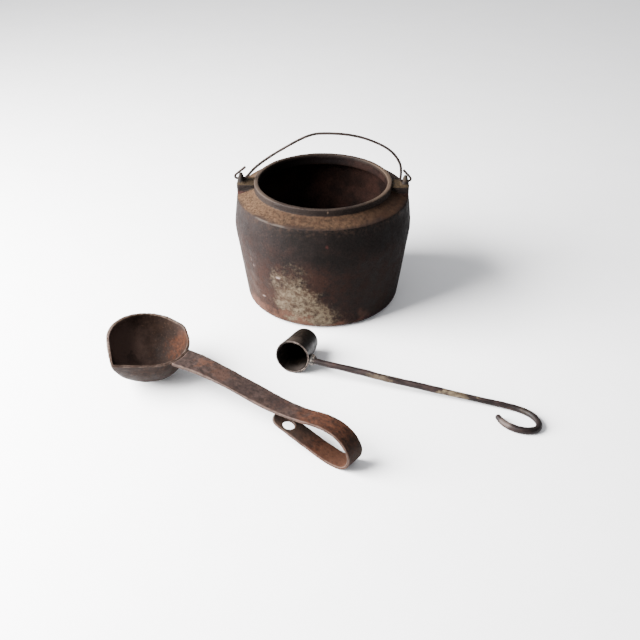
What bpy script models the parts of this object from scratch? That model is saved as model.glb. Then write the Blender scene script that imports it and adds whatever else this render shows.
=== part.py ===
"""A beekeeper's set for casting wax candles: an iron melting pot with a wire bail, a two-lipped
pouring ladle with a looped strap handle, and a small tapered mould cup on a hooked rod.

Metres, +Z up. The origin is the middle of the pot's underside, and all three tools stand or lie
on z = 0.
"""

from math import acos, atan2, ceil, cos, pi, radians, sin, sqrt, tan

import bmesh
import bpy
from mathutils import Matrix, Vector

GAP = 0.0003  # left between pieces that touch
CHORD_ERROR = 0.00006  # how far an arc's straight steps may cut inside it

# Pot: one casting, turned about Z, with an ear at each side
POT_RADIUS = 0.0750  # at the kink, the widest place
KINK_HEIGHT = 0.0695
BASE_RADIUS = 0.0649
BASE_CORNER = 0.0069
SHOULDER_RADIUS = 0.0724
SHOULDER_HEIGHT = 0.0958
POT_HEIGHT = 0.1067
LIP_RADIUS = 0.05805
LIP_HEIGHT = 0.0055
MOUTH_RADIUS = 0.0542
POT_WALL = 0.0040
POT_FLOOR = 0.0050
FLOOR_CORNER = 0.0090
KINK_ROUNDING = 0.0400
SHOULDER_INSIDE_ROUNDING = 0.0030
POT_EDGE_ROUNDING = 0.0010
POT_STEPS = 64

# Ears and the bail that turns in them, in a frame turned by BAIL_YAW about Z
BAIL_YAW = radians(-2.2)
PIVOT_HEIGHT = 0.1070
EAR_PAD_HEIGHT = 0.1046
EAR_MIDDLE = 0.0687  # from the pot's axis to the middle of the ear's fin
EAR_HOLE_RADIUS = 0.0016
EAR_TIP_HEIGHT = 0.1120
BAIL_WIRE_RADIUS = 0.00085
BAIL_HOOK_BEND = 0.0019
BAIL_FOOT_BEND = 0.0014

# Ladle, in a frame at the bowl's centre with +X towards the handle's loop
LADLE_PLACE = (-0.1341, -0.1331, 0.0)
LADLE_YAW = radians(-37.0)
BOWL_RADIUS = 0.0319
BOWL_DEPTH = 0.0344
BOWL_WALL = 0.0023
BOWL_TILT = radians(11.6)  # the rim dips towards the handle
BOWL_CENTRE_HEIGHT = 0.0343
BEAK_REACH = 0.0440
BEAK_ANGLE = radians(-84.5)  # from the handle, about the bowl's axis
LIP_REACH = 0.0340
LIP_ANGLE = radians(76.5)
LIP_TIP_BLUNTING = 0.0008
LIP_FADE = 2.2  # how fast the lips blend into the bowl below the rim
BOWL_STEPS = 60
BOWL_ROWS = 11
STRAP_THICKNESS = 0.0018
STRAP_OFFSET = 0.0041  # of its middle line, to the left of the bowl's centre
STRAP_HOLE_RADIUS = 0.0047
STRAP_HOLE_INSET = 0.0134  # from the rounded end
STRAP_HOLE_ASIDE = -0.0007
CUTTER_LENGTH = 0.0120  # of a drill or a cover, well past what it cuts

# Mould, in a frame under the cup's mouth with +X along the rod
MOULD_PLACE = (-0.0242, -0.1278, 0.0)
MOULD_YAW = radians(-16.6)
CUP_MOUTH_RADIUS = 0.0139
CUP_END_RADIUS = 0.0102
CUP_LENGTH = 0.0343
CUP_CORNER = 0.0042
CUP_WALL = 0.0013
CUP_TURN = radians(87.6)  # from the rod to the cup's axis
CUP_TAPER = atan2(CUP_MOUTH_RADIUS - CUP_END_RADIUS, CUP_LENGTH)
CUP_STEPS = 48
BRAZE_PLACE = (0.0150, 0.0038, 0.0120)
BRAZE_SIZE = (0.0046, 0.0042, 0.0044)  # half sizes


# ---------------------------------------------------------------- scene, materials and objects


def clear_scene():
    for obj in list(bpy.data.objects):
        bpy.data.objects.remove(obj, do_unlink=True)


def new_collection(name):
    made = bpy.data.collections.new(name)
    bpy.context.scene.collection.children.link(made)
    return made


def metal(name, colour, roughness, metallic):
    made = bpy.data.materials.new(name)
    made.use_nodes = True
    shader = made.node_tree.nodes["Principled BSDF"]
    shader.inputs["Base Color"].default_value = (*colour, 1.0)
    shader.inputs["Roughness"].default_value = roughness
    shader.inputs["Metallic"].default_value = metallic
    return made


def add_object(name, data, material=None, parent=None):
    """A new object in the set's collection, or in the cutters' one if it has no material."""
    obj = bpy.data.objects.new(name, data)
    if material:
        parts.objects.link(obj)
        data.materials.append(material)
    else:
        cutters.objects.link(obj)
        obj.hide_render = True
        obj.display_type = "WIRE"
    obj.parent = parent
    return obj


def add_frame(name, place, yaw):
    empty = bpy.data.objects.new(name, None)
    parts.objects.link(empty)
    empty.location = place
    empty.rotation_euler = (0, 0, yaw)
    return empty


def boolean(target, tool, operation):
    step = target.modifiers.new(operation.lower() + "_" + tool.name, "BOOLEAN")
    step.operation = operation
    step.object = tool
    step.solver = "EXACT"


# ---------------------------------------------------------------- outlines and paths


def rounded(corners):
    """Points of an outline whose corners are (x, y, radius): each is replaced by an arc."""
    points = []
    for i, (x, y, radius) in enumerate(corners):
        here = Vector((x, y))
        if radius == 0:
            points.append(here)
            continue
        back = (Vector(corners[i - 1][:2]) - here).normalized()
        ahead = (Vector(corners[(i + 1) % len(corners)][:2]) - here).normalized()
        half = acos(max(-1.0, min(1.0, back.dot(ahead)))) / 2
        centre = here + (back + ahead).normalized() * radius / sin(half)
        first = here + back * radius / tan(half) - centre
        last = here + ahead * radius / tan(half) - centre
        sweep = first.angle_signed(last)
        steps = ceil(abs(sweep) / (2 * acos(1 - CHORD_ERROR / radius)))
        for k in range(steps + 1):
            turn = Matrix.Rotation(-sweep * k / steps, 2)
            points.append(centre + turn @ first)
    return points


def smooth_path(knots, per_span):
    """Points of a centripetal Catmull-Rom curve through the knots, which may have any dimension."""
    knots = [Vector(k) for k in knots]
    knots = [knots[0] * 2 - knots[1], *knots, knots[-1] * 2 - knots[-2]]
    points = []
    for a, b, c, d in zip(knots, knots[1:], knots[2:], knots[3:]):
        t0 = 0.0
        t1 = t0 + sqrt((b - a).length)
        t2 = t1 + sqrt((c - b).length)
        t3 = t2 + sqrt((d - c).length)
        for k in range(per_span):
            t = t1 + (t2 - t1) * k / per_span
            ab = a.lerp(b, (t - t0) / (t1 - t0))
            bc = b.lerp(c, (t - t1) / (t2 - t1))
            cd = c.lerp(d, (t - t2) / (t3 - t2))
            abc = ab.lerp(bc, (t - t0) / (t2 - t0))
            bcd = bc.lerp(cd, (t - t1) / (t3 - t1))
            points.append(abc.lerp(bcd, (t - t1) / (t2 - t1)))
    return [*points, knots[-2]]


# ---------------------------------------------------------------- solids


def turned(name, profile, steps, material=None, parent=None):
    """A profile of (radius, height) points, turned about the object's Z."""
    mesh = bpy.data.meshes.new(name)
    points = [(r, 0, z) for r, z in profile]
    mesh.from_pydata(points, [(i, i + 1) for i in range(len(points) - 1)], [])
    obj = add_object(name, mesh, material, parent)
    screw = obj.modifiers.new("turn", "SCREW")
    screw.steps = steps
    screw.render_steps = steps
    screw.use_merge_vertices = True
    screw.merge_threshold = 0.00005
    screw.use_smooth_shade = True
    return obj


def wire(name, points, radii, material=None, parent=None):
    """A round wire along the points, as a curve."""
    curve = bpy.data.curves.new(name, "CURVE")
    curve.dimensions = "3D"
    curve.bevel_depth = 1.0
    curve.bevel_resolution = 2
    curve.use_fill_caps = True
    spline = curve.splines.new("POLY")
    spline.points.add(len(points) - 1)
    for point, place, radius in zip(spline.points, points, radii):
        point.co = (*place, 1.0)
        point.radius = radius
    return add_object(name, curve, material, parent)


def mesh_of(curve_object, material=None):
    """The curve object's evaluated mesh with its caps welded, as an object that takes Booleans."""
    bpy.context.view_layer.update()
    seen = curve_object.evaluated_get(bpy.context.evaluated_depsgraph_get())
    mesh = bpy.data.meshes.new_from_object(seen)
    work = bmesh.new()
    work.from_mesh(mesh)
    bmesh.ops.remove_doubles(work, verts=work.verts, dist=0.00001)
    work.to_mesh(mesh)
    work.free()
    name = curve_object.name
    place = curve_object.matrix_world.copy()
    bpy.data.objects.remove(curve_object)
    mesh.materials.clear()
    obj = add_object(name, mesh, material)
    obj.matrix_world = place
    return obj


def lofted(name, rings, tip=None, open_top=False, material=None, parent=None):
    """A skin over rings of points, listed upwards and each anticlockwise as seen from above.

    Its foot is flat, or drawn to the tip if there is one. Its top is flat unless left open.
    """
    work = bmesh.new()
    loops = [[work.verts.new(p) for p in ring] for ring in rings]
    count = len(loops[0])
    for low, high in zip(loops, loops[1:]):
        for i in range(count):
            j = (i + 1) % count
            work.faces.new((low[i], low[j], high[j], high[i]))
    if tip:
        end = work.verts.new(tip)
        for i in range(count):
            work.faces.new((loops[0][(i + 1) % count], loops[0][i], end))
    else:
        work.faces.new(loops[0][::-1])
    if not open_top:
        work.faces.new(loops[-1])
    mesh = bpy.data.meshes.new(name)
    work.to_mesh(mesh)
    work.free()
    mesh.shade_smooth()
    mesh.set_sharp_from_angle(angle=radians(40))
    return add_object(name, mesh, material, parent)


def drill(name, radius, place, rotation, parent=None):
    mesh = bpy.data.meshes.new(name)
    work = bmesh.new()
    bmesh.ops.create_cone(
        work, cap_ends=True, segments=32, radius1=radius, radius2=radius, depth=CUTTER_LENGTH
    )
    work.to_mesh(mesh)
    work.free()
    obj = add_object(name, mesh, None, parent)
    obj.location = place
    obj.rotation_euler = rotation
    return obj


# ---------------------------------------------------------------- pot


def pot_profile():
    """From the middle of the floor up the inside, over the lip and down the outside."""
    inside_shoulder = SHOULDER_HEIGHT - POT_WALL * 1.15
    throat = POT_HEIGHT - LIP_HEIGHT - POT_WALL
    edge = POT_EDGE_ROUNDING
    return rounded(
        [
            (0, POT_FLOOR, 0),
            (BASE_RADIUS - POT_WALL, POT_FLOOR, FLOOR_CORNER),
            (POT_RADIUS - POT_WALL, KINK_HEIGHT, KINK_ROUNDING - POT_WALL),
            (SHOULDER_RADIUS - POT_WALL, inside_shoulder, SHOULDER_INSIDE_ROUNDING),
            (MOUTH_RADIUS, throat, 2 * edge),
            (MOUTH_RADIUS, POT_HEIGHT, edge),
            (LIP_RADIUS, POT_HEIGHT, edge),
            (LIP_RADIUS, POT_HEIGHT - LIP_HEIGHT, edge),
            (SHOULDER_RADIUS, SHOULDER_HEIGHT, edge),
            (POT_RADIUS, KINK_HEIGHT, KINK_ROUNDING),
            (BASE_RADIUS, 0, BASE_CORNER),
            (0, 0, 0),
        ]
    )


def ear_sections():
    """Rings of one ear, from inside the shoulder to its tip: a square root, then a rounded fin.

    Each row is height, middle of the section, half sizes along X and Y, how square it is (2 is an
    ellipse), and how far the section falls for each step outwards.
    """
    rows = [
        (0.0968, 0.0641, 0.0078, 0.0080, 9, 0.375),
        (EAR_PAD_HEIGHT - 0.0004, 0.0643, 0.0079, 0.0080, 9, 0),
        (EAR_PAD_HEIGHT, 0.0646, 0.0074, 0.0076, 8, 0),
        (EAR_PAD_HEIGHT + 0.0003, 0.0680, 0.0038, 0.0066, 4, 0),
        (PIVOT_HEIGHT - 0.0008, EAR_MIDDLE, 0.0028, 0.0054, 3, 0),
        (PIVOT_HEIGHT + 0.0012, EAR_MIDDLE, 0.0023, 0.0046, 2.6, 0),
        (PIVOT_HEIGHT + 0.0030, EAR_MIDDLE, 0.0016, 0.0034, 2.4, 0),
        (EAR_TIP_HEIGHT - 0.0008, EAR_MIDDLE, 0.0010, 0.0022, 2.2, 0),
        (EAR_TIP_HEIGHT, EAR_MIDDLE, 0.0005, 0.0012, 2, 0),
    ]
    count = 28
    rings = []
    for height, middle, half_x, half_y, square, fall in rows:
        ring = []
        for i in range(count):
            angle = 2 * pi * i / count
            x = half_x * abs(cos(angle)) ** (2 / square) * (1 if cos(angle) >= 0 else -1)
            y = half_y * abs(sin(angle)) ** (2 / square) * (1 if sin(angle) >= 0 else -1)
            ring.append((middle + x, y, height - fall * x))
        rings.append(ring)
    return rings


def make_pot(material):
    pot = turned("pot_casting", pot_profile(), POT_STEPS, material)
    sides = (("right", BAIL_YAW), ("left", BAIL_YAW + pi))
    for side, yaw in sides:
        ear = lofted("ear_" + side, ear_sections())
        ear.rotation_euler = (0, 0, yaw)
        boolean(pot, ear, "UNION")
    for side, yaw in sides:
        middle = (EAR_MIDDLE * cos(yaw), EAR_MIDDLE * sin(yaw), PIVOT_HEIGHT)
        hole = drill("ear_hole_" + side, EAR_HOLE_RADIUS, middle, (0, pi / 2, yaw))
        boolean(pot, hole, "DIFFERENCE")


def make_bail(material):
    """A wire arch whose ends pass out through the ears and hook back over their tips.

    Its points are along the pivot axis and up from it. The arch is hand bent: its left side is
    straighter and its right side rounder.
    """
    arch = smooth_path(
        [
            (-0.0632, 0.0025),
            (-0.0568, 0.0098),
            (-0.0453, 0.0190),
            (-0.0340, 0.0265),
            (-0.0173, 0.0364),
            (-0.0085, 0.0399),
            (-0.0020, 0.0409),
            (0.0176, 0.0405),
            (0.0319, 0.0379),
            (0.0435, 0.0337),
            (0.0517, 0.0295),
            (0.0577, 0.0247),
            (0.0619, 0.0192),
            (0.0644, 0.0137),
            (0.0650, 0.0067),
            (0.0648, 0.0024),
        ],
        3,
    )
    left = rounded(
        [
            (-0.0650, 0.0103, 0),
            (-0.0773, 0, BAIL_HOOK_BEND),
            (-0.0660, 0, BAIL_FOOT_BEND),
            (*arch[0], 0),
        ]
    )
    right = rounded(
        [
            (*arch[-1], 0),
            (0.0648, 0, BAIL_FOOT_BEND),
            (0.0758, 0, BAIL_HOOK_BEND),
            (0.0671, 0.0096, 0),
        ]
    )
    points = [(x, 0, up) for x, up in (*left, *arch[1:-1], *right)]
    bail = wire("bail_wire", points, [BAIL_WIRE_RADIUS] * len(points), material)
    bail.location = (0, 0, PIVOT_HEIGHT)
    bail.rotation_euler = (0, 0, BAIL_YAW)


# ---------------------------------------------------------------- ladle


def reach(angle, radius):
    """How far the bowl's rim is from its axis: a circle drawn out to the beak and to the lip."""
    longest = radius
    for lip_angle, lip_reach in ((BEAK_ANGLE, BEAK_REACH), (LIP_ANGLE, LIP_REACH)):
        lip_reach += radius - BOWL_RADIUS
        tangent = acos(radius / lip_reach)
        off = abs((angle - lip_angle + pi) % (2 * pi) - pi)
        if off < tangent:
            blunted = lip_reach - LIP_TIP_BLUNTING
            longest = max(longest, min(radius / cos(tangent - off), blunted))
    return longest


def bowl_rings(grown):
    """Rings up a rounded bowl to its rim, with the lips fading out below the rim."""
    radius = BOWL_RADIUS + grown
    depth = BOWL_DEPTH + grown
    rings = []
    for k in range(1, BOWL_ROWS + 1):
        up = k / BOWL_ROWS
        flat = sin(up * pi / 2)
        ring = []
        for i in range(BOWL_STEPS):
            angle = BEAK_ANGLE + 2 * pi * i / BOWL_STEPS
            out = radius * flat + (reach(angle, radius) - radius) * up**LIP_FADE
            ring.append((out * cos(angle), out * sin(angle), -depth * cos(up * pi / 2)))
        rings.append(ring)
    return rings, (0, 0, -depth)


def lay_bowl(obj):
    obj.location = (0, 0, BOWL_CENTRE_HEIGHT)
    obj.rotation_euler = (0, BOWL_TILT, 0)


def make_bowl(material, frame):
    rings, bottom = bowl_rings(0)
    bowl = lofted("ladle_bowl", rings, bottom, True, material, frame)
    shell = bowl.modifiers.new("wall", "SOLIDIFY")
    shell.thickness = BOWL_WALL
    shell.offset = -1
    shell.use_even_offset = True
    lay_bowl(bowl)


def strap_path():
    """The strap's middle line, along the handle and up, and its half width there.

    A long arm widens towards the bowl, and a loop is folded back under its other end.
    """
    return smooth_path(
        [
            (0.0250, 0.0262, 0.0112),
            (0.0440, 0.0280, 0.0103),
            (0.0570, 0.0283, 0.0096),
            (0.0810, 0.0273, 0.0089),
            (0.0980, 0.0258, 0.0088),
            (0.1120, 0.0247, 0.0086),
            (0.1270, 0.0241, 0.0081),
            (0.1380, 0.0247, 0.0078),
            (0.1500, 0.0261, 0.0077),
            (0.1610, 0.0281, 0.0077),
            (0.1707, 0.0286, 0.0077),
            (0.1793, 0.0268, 0.0077),
            (0.1862, 0.0225, 0.0077),
            (0.1905, 0.0170, 0.0077),
            (0.1917, 0.0120, 0.0077),
            (0.1905, 0.0068, 0.0077),
            (0.1869, 0.0027, 0.0077),
            (0.1822, 0.0012, 0.0077),
            (0.1775, 0.0010, 0.0077),
            (0.1723, 0.0013, 0.0077),
            (0.1654, 0.0028, 0.0077),
            (0.1583, 0.0046, 0.0077),
            (0.1440, 0.0085, 0.0077),
            (0.1295, 0.0126, 0.0077),
            (0.1213, 0.0149, 0.0077),
        ],
        3,
    )


def place_along(path, distance):
    """The point this far along the path."""
    for a, b in zip(path, path[1:]):
        step = (b - a).length
        if distance <= step:
            return a.lerp(b, distance / step)
        distance -= step
    return path[-1]


def strap_rows(path, length):
    """Points along the strap, each with its half width, down to the last of the round end."""
    radius = path[-1].z
    straight = length - radius
    steps = 64
    distances = [straight * k / steps for k in range(steps + 1)]
    rows = [place_along(path, distance) for distance in distances]
    for degrees in range(14, 90, 14):
        turn = radians(degrees)
        row = place_along(path, straight + radius * sin(turn))
        rows.append(Vector((row.x, row.y, radius * cos(turn))))
    return rows


def make_strap(material, frame):
    """A flat strap bent along its path, with a rounded and pierced end, fitted round the bowl."""
    path = strap_path()
    length = sum((b - a).length for a, b in zip(path, path[1:]))
    work = bmesh.new()
    rows = []
    for along, up, half in strap_rows(path, length):
        across = [half * side / 3 for side in range(-3, 4)]
        rows.append([work.verts.new((along, y, up)) for y in across])
    for low, high in zip(rows, rows[1:]):
        for i in range(len(low) - 1):
            work.faces.new((low[i], low[i + 1], high[i + 1], high[i]))
    mesh = bpy.data.meshes.new("ladle_handle")
    work.to_mesh(mesh)
    work.free()
    mesh.shade_smooth()
    strap = add_object("ladle_handle", mesh, material, frame)
    strap.location = (0, STRAP_OFFSET, 0)
    body = strap.modifiers.new("thickness", "SOLIDIFY")
    body.thickness = STRAP_THICKNESS
    body.offset = 0
    body.use_even_offset = True

    middle = place_along(path, length - STRAP_HOLE_INSET)
    ahead = place_along(path, length - STRAP_HOLE_INSET / 2) - middle
    place = (middle.x, STRAP_OFFSET + STRAP_HOLE_ASIDE, middle.y)
    turn = (0, -atan2(ahead.y, ahead.x), 0)
    boolean(strap, drill("strap_hole", STRAP_HOLE_RADIUS, place, turn, frame), "DIFFERENCE")

    rings, bottom = bowl_rings(GAP)
    rings.append([(x, y, CUTTER_LENGTH) for x, y, _ in rings[-1]])
    clearance = lofted("bowl_clearance", rings, bottom, parent=frame)
    lay_bowl(clearance)
    boolean(strap, clearance, "DIFFERENCE")


# ---------------------------------------------------------------- mould


def cup_profile(extra):
    """The cup's outer side from the middle of its closed end to its mouth, grown by extra."""
    corners = [
        (0, CUP_LENGTH + extra, 0),
        (CUP_END_RADIUS + extra, CUP_LENGTH + extra, CUP_CORNER),
        (CUP_MOUTH_RADIUS + extra, -extra, 0),
    ]
    return rounded(corners)


def make_cup(material, frame):
    """A thin tapered cup, turned about its own Z with the mouth at z = 0."""
    inside = [
        (CUP_MOUTH_RADIUS - CUP_WALL, 0, 0),
        (CUP_END_RADIUS - CUP_WALL, CUP_LENGTH - CUP_WALL, CUP_CORNER - CUP_WALL),
        (0, CUP_LENGTH - CUP_WALL, 0),
    ]
    lay_cup(turned("mould_cup", cup_profile(0) + rounded(inside), CUP_STEPS, material, frame))


def lay_cup(obj):
    """Lays a shape made about the cup's axis on its side, touching the table along its length."""
    obj.location = (0, 0, CUP_MOUTH_RADIUS * cos(CUP_TAPER))
    obj.rotation_euler = (0, pi / 2 + CUP_TAPER, CUP_TURN)


def rod_path():
    """The rod's middle line and radius: off the cup's side, down to the table, round the hook."""
    knots = [
        (0.0120, 0.0028, 0.0122, 0.0022),
        (0.0300, 0.0020, 0.0111, 0.0023),
        (0.0430, 0.0022, 0.0103, 0.0024),
        (0.0580, 0.0018, 0.0093, 0.0027),
        (0.0710, 0.0007, 0.0085, 0.0026),
        (0.0860, 0.0006, 0.0076, 0.0025),
        (0.1040, 0.0005, 0.0065, 0.0026),
        (0.1250, 0.0004, 0.0051, 0.0024),
        (0.1480, 0.0002, 0.0037, 0.0022),
        (0.1720, -0.0003, 0.0023, 0.0021),
        (0.1830, -0.0032, 0.0022, 0.0021),
        (0.1900, -0.0080, 0.0022, 0.0021),
        (0.1942, -0.0148, 0.0022, 0.0021),
        (0.1938, -0.0212, 0.0022, 0.0021),
        (0.1894, -0.0250, 0.0022, 0.0021),
        (0.1824, -0.0262, 0.0022, 0.0021),
        (0.1746, -0.0244, 0.0022, 0.0021),
        (0.1680, -0.0201, 0.0022, 0.0020),
        (0.1638, -0.0150, 0.0024, 0.0018),
    ]
    path = smooth_path(knots, 3)
    return [p[:3] for p in path], [p[3] for p in path]


def make_rod(material, frame, cup_clearance):
    points, radii = rod_path()
    rod = mesh_of(wire("mould_handle_rod", points, radii, None, frame), material)
    boolean(rod, cup_clearance, "DIFFERENCE")


def make_braze(material, frame, cup_clearance):
    """The lump of braze round the rod's end, hollowed for the cup's side and for the rod."""
    lump = add_object("braze_joint", bpy.data.meshes.new("braze_joint"), material, frame)
    work = bmesh.new()
    bmesh.ops.create_uvsphere(work, u_segments=22, v_segments=12, radius=1.0)
    bmesh.ops.scale(work, vec=BRAZE_SIZE, verts=work.verts)
    work.to_mesh(lump.data)
    work.free()
    lump.data.shade_smooth()
    lump.location = BRAZE_PLACE
    boolean(lump, cup_clearance, "DIFFERENCE")
    points, radii = rod_path()
    past = BRAZE_PLACE[0] + CUTTER_LENGTH
    near = [(p, r + GAP) for p, r in zip(points, radii) if p[0] < past]
    sleeve = mesh_of(wire("rod_clearance", *zip(*near), None, frame))
    boolean(lump, sleeve, "DIFFERENCE")


# ---------------------------------------------------------------- the set

clear_scene()
parts = new_collection("candle_casting_set")
cutters = new_collection("cutters")

cast_iron = metal("cast_iron", (0.075, 0.060, 0.052), 0.72, 0.35)
bail_steel = metal("bail_steel", (0.050, 0.043, 0.040), 0.50, 0.80)
ladle_iron = metal("ladle_iron", (0.085, 0.062, 0.052), 0.62, 0.45)
strap_iron = metal("strap_iron", (0.115, 0.070, 0.052), 0.60, 0.45)
cup_steel = metal("cup_steel", (0.110, 0.100, 0.090), 0.38, 0.90)
rod_steel = metal("rod_steel", (0.090, 0.068, 0.060), 0.45, 0.80)
braze_metal = metal("braze_metal", (0.420, 0.370, 0.310), 0.40, 0.90)

make_pot(cast_iron)
make_bail(bail_steel)

ladle = add_frame("ladle", LADLE_PLACE, LADLE_YAW)
make_bowl(ladle_iron, ladle)
make_strap(strap_iron, ladle)

mould = add_frame("mould", MOULD_PLACE, MOULD_YAW)
make_cup(cup_steel, mould)
clearance = turned("cup_clearance", [*cup_profile(GAP), (0, -GAP)], CUP_STEPS, None, mould)
lay_cup(clearance)
make_rod(rod_steel, mould, clearance)
make_braze(braze_metal, mould, clearance)
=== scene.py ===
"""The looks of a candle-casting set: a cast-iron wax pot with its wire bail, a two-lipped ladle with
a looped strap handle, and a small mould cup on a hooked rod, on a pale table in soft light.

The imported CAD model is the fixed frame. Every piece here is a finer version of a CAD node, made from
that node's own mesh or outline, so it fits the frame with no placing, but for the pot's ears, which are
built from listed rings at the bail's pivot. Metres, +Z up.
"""

from functools import partial
from math import cos, pi, radians, sin
from types import SimpleNamespace

import bmesh
import bpy
import numpy as np
from mathutils import Matrix, Vector, noise


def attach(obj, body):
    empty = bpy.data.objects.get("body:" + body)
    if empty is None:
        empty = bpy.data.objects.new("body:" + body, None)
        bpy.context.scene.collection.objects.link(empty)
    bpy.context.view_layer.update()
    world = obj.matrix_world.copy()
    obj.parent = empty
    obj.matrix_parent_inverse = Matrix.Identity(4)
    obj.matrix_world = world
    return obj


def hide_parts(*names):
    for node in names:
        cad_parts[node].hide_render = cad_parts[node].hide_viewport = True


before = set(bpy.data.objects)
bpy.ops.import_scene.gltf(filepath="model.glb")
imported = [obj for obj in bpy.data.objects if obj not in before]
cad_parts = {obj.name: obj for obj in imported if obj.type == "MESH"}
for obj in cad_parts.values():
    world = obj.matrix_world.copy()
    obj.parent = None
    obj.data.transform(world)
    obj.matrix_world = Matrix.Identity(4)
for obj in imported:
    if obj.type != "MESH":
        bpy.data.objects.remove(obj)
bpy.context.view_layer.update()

# ---------------------------------------------------------------- camera, floor and light

CAMERA_PLACE = (-0.0025, -0.7974, 0.4676)
CAMERA_DIP = radians(32.07)  # below level
CAMERA_LENS = 58.17  # mm
CAMERA_SENSOR = 36.0  # mm

FILL_COLOUR = (0.96, 0.97, 1.0)
FILL_STRENGTH = 0.75
WINDOW_PLACE = (-0.72, -0.23, 0.44)
WINDOW_TARGET = (-0.08, -0.08, 0.0)
WINDOW_SIZE = 0.75
WINDOW_POWER = 115.0  # W
WINDOW_COLOUR = (1.0, 0.99, 0.98)

FLOOR_SIZE = 8.0
FLOOR_HEIGHT = -0.0002  # just under the pieces, so that no faces coincide


def make_camera():
    data = bpy.data.cameras.new("camera")
    data.lens = CAMERA_LENS
    data.sensor_width = CAMERA_SENSOR
    camera = bpy.data.objects.new("camera", data)
    bpy.context.scene.collection.objects.link(camera)
    camera.location = CAMERA_PLACE
    camera.rotation_euler = (pi / 2 - CAMERA_DIP, 0, 0)
    bpy.context.scene.camera = camera


def make_window():
    """A broad soft light from the left, as from a window."""
    data = bpy.data.lights.new("window", "AREA")
    data.size = WINDOW_SIZE
    data.energy = WINDOW_POWER
    data.color = WINDOW_COLOUR
    light = bpy.data.objects.new("window", data)
    bpy.context.scene.collection.objects.link(light)
    light.location = WINDOW_PLACE
    towards = Vector(WINDOW_TARGET) - Vector(WINDOW_PLACE)
    light.rotation_euler = towards.to_track_quat("-Z", "Y").to_euler()


def make_fill():
    """A dim even light from all round."""
    world = bpy.data.worlds.new("studio")
    bpy.context.scene.world = world
    world.use_nodes = True
    background = world.node_tree.nodes["Background"]
    background.inputs["Color"].default_value = (*FILL_COLOUR, 1.0)
    background.inputs["Strength"].default_value = FILL_STRENGTH


def make_floor():
    bpy.ops.mesh.primitive_plane_add(size=FLOOR_SIZE, location=(0, 0, FLOOR_HEIGHT))
    floor = bpy.context.object
    floor.name = "floor"
    look = Look("floor_paint")
    clouded = look.mix(look.noise(0.05, detail=3), (0.84, 0.84, 0.85), (0.90, 0.90, 0.91))
    look.paint(clouded, roughness=0.6, shine=0.2)
    floor.data.materials.append(look.material)


# ---------------------------------------------------------------- materials

DARKENING = 0.75  # makes up for a light strong enough to leave the table nearly white


def tint(red, green, blue):
    """A linear colour from display values of 0 to 255, darkened to suit the strong light."""
    shares = [value / 255 for value in (red, green, blue)]
    linear = [s / 12.92 if s <= 0.04045 else ((s + 0.055) / 1.055) ** 2.4 for s in shares]
    return tuple(DARKENING * value for value in linear)


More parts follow.
